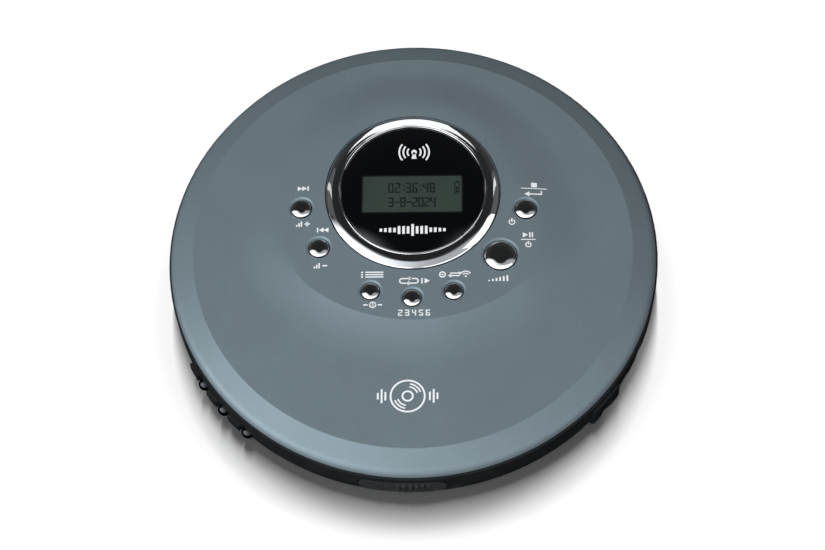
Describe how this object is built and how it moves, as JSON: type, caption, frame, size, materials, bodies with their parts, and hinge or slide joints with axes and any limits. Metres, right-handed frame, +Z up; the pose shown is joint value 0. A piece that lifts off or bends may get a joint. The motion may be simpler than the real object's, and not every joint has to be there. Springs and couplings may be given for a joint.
{
  "type": "portable cd player",
  "caption": "Round portable disc player with a hinged silver lid, round display in a chrome ring, dome buttons, a low black base and a working disc mechanism inside.",
  "frame": {"origin": "centre of the footprint on the table, under the disc spindle", "axes": "+Z up, the latch faces -Y and the hinge is at +Y"},
  "size_m": [0.141, 0.1414, 0.0283],
  "materials": {
    "case_black": "fine textured black moulding",
    "deck_black": "satin black moulding",
    "cell_wrap": "printed wrap",
    "plated_steel": "nickel plated",
    "board_green": "solder mask",
    "chip_black": "moulded package",
    "can_aluminium": "drawn can",
    "jack_metal": "plated ring",
    "jack_black": "moulded",
    "switch_grey": "moulded",
    "chrome_dome": "mirror plated plastic",
    "chassis_steel": "pressed plate",
    "soft_rubber": "soft",
    "screw_steel": "blackened",
    "motor_can": "drawn can",
    "hub_black": "moulded",
    "brass_gear": "machined",
    "acetal_white": "moulded",
    "sled_black": "die cast look",
    "lens_glass": "coated lens",
    "latch_black": "moulded",
    "lid_silver": "blue-grey metallic paint",
    "chrome_ring": "mirror plated",
    "window_black": "smoked clear",
    "lcd_grey": "liquid crystal",
    "light_guide": "diffuser"
  },
  "bodies": {
    "base": {"base_shell": "case_black", "disc_deck": "deck_black", "battery_cells": "cell_wrap", "battery_contacts": "plated_steel", "battery_springs": "plated_steel", "main_pcb": "board_green", "pcb_chips": "chip_black", "pcb_capacitors": "can_aluminium", "io_pcb": "board_green", "headphone_jack": "jack_metal", "line_out_jack": "jack_metal", "dc_inlet": "jack_black", "key_pcb": "board_green", "side_switches": "switch_grey", "mech_chassis": "chassis_steel", "damper_grommets": "soft_rubber", "mech_screws": "screw_steel", "spindle_motor": "motor_can", "guide_rods": "plated_steel", "sled_motor": "motor_can", "idler_pin": "plated_steel", "latch_spring": "plated_steel", "lid_switch": "switch_grey", "hinge_pin": "plated_steel", "hinge_spring": "plated_steel", "rubber_feet": "soft_rubber", "case_screws": "screw_steel"},
    "lid": {"lid_cover": "lid_silver", "lid_liner": "deck_black", "lid_screws": "screw_steel", "display_bezel": "chrome_ring", "display_window": "window_black", "lcd_panel": "lcd_grey", "lcd_backlight": "light_guide", "control_pcb": "board_green", "control_switches": "switch_grey"},
    "door": {"battery_door": "case_black"},
    "spindle": {"spindle_hub": "hub_black", "clamp_balls": "plated_steel"},
    "latch": {"latch_slider": "latch_black"},
    "sled": {"optical_sled": "sled_black", "sled_rack": "acetal_white", "actuator_yoke": "chassis_steel"},
    "lens": {"lens_holder": "hub_black", "objective_lens": "lens_glass"},
    "idler": {"idler_gear": "acetal_white"},
    "pinion": {"motor_pinion": "brass_gear"},
    "key_next": {"button_next": "chrome_dome"},
    "key_previous": {"button_previous": "chrome_dome"},
    "key_menu": {"button_menu": "chrome_dome"},
    "key_mode": {"button_mode": "chrome_dome"},
    "key_source": {"button_source": "chrome_dome"},
    "key_play": {"button_play": "chrome_dome"},
    "key_stop": {"button_stop": "chrome_dome"},
    "key_volume_up": {"button_volume_up": "chrome_dome"},
    "key_volume_down": {"button_volume_down": "chrome_dome"},
    "key_bass": {"button_bass": "chrome_dome"}
  },
  "joints": [
    {"name": "lid_hinge", "type": "hinge", "parent": "base", "child": "lid", "pos_m": [0, 0.065, 0.014], "axis": [-1, 0, 0], "range_deg": [0, 70]},
    {"name": "next_press", "type": "slide", "parent": "lid", "child": "key_next", "axis": [0, 0, -1], "range_m": [0, 0.0004], "stiffness_N_per_m": 800},
    {"name": "previous_press", "type": "slide", "parent": "lid", "child": "key_previous", "axis": [0, 0, -1], "range_m": [0, 0.0004], "stiffness_N_per_m": 800},
    {"name": "menu_press", "type": "slide", "parent": "lid", "child": "key_menu", "axis": [0, 0, -1], "range_m": [0, 0.0004], "stiffness_N_per_m": 800},
    {"name": "mode_press", "type": "slide", "parent": "lid", "child": "key_mode", "axis": [0, 0, -1], "range_m": [0, 0.0004], "stiffness_N_per_m": 800},
    {"name": "source_press", "type": "slide", "parent": "lid", "child": "key_source", "axis": [0, 0, -1], "range_m": [0, 0.0004], "stiffness_N_per_m": 800},
    {"name": "play_press", "type": "slide", "parent": "lid", "child": "key_play", "axis": [0, 0, -1], "range_m": [0, 0.0004], "stiffness_N_per_m": 800},
    {"name": "stop_press", "type": "slide", "parent": "lid", "child": "key_stop", "axis": [0, 0, -1], "range_m": [0, 0.0004], "stiffness_N_per_m": 800},
    {"name": "volume_up_press", "type": "slide", "parent": "base", "child": "key_volume_up", "axis": [0.8443, 0.5358, 0], "range_m": [0, 0.0005], "stiffness_N_per_m": 800},
    {"name": "volume_down_press", "type": "slide", "parent": "base", "child": "key_volume_down", "axis": [0.7615, 0.6481, 0], "range_m": [0, 0.0005], "stiffness_N_per_m": 800},
    {"name": "bass_press", "type": "slide", "parent": "base", "child": "key_bass", "axis": [0.6626, 0.749, 0], "range_m": [0, 0.0005], "stiffness_N_per_m": 800},
    {"name": "latch_slide", "type": "hinge", "parent": "base", "child": "latch", "pos_m": [0, 0, 0.0133], "axis": [0, 0, 1], "range_deg": [0, 2.9], "stiffness_Nm_per_rad": 1.2},
    {"name": "door_hinge", "type": "hinge", "parent": "base", "child": "door", "pos_m": [0, 0.0187, 0.0013], "axis": [-1, 0, 0], "range_deg": [0, 100]},
    {"name": "spindle_spin", "type": "hinge", "parent": "base", "child": "spindle", "pos_m": [0, 0, 0.0175], "axis": [0, 0, 1], "continuous": true},
    {"name": "sled_slide", "type": "slide", "parent": "base", "child": "sled", "axis": [0, -1, 0], "range_m": [0, 0.03]},
    {"name": "idler_spin", "type": "hinge", "parent": "base", "child": "idler", "pos_m": [0.0171, -0.016, 0.0086], "axis": [0, 0, 1], "range_deg": [0, 493]},
    {"name": "pinion_spin", "type": "hinge", "parent": "base", "child": "pinion", "pos_m": [0.02734, -0.01326, 0.0086], "axis": [0, 0, 1], "range_deg": [-1580, 0]},
    {"name": "lens_focus", "type": "slide", "parent": "sled", "child": "lens", "axis": [0, 0, 1], "range_m": [-0.0004, 0.0004], "stiffness_N_per_m": 60}
  ],
  "couplings": [
    {"joint": "idler_spin", "follows": "sled_slide", "rad_per_m": 285.71},
    {"joint": "pinion_spin", "follows": "sled_slide", "rad_per_m": -914.29}
  ]
}
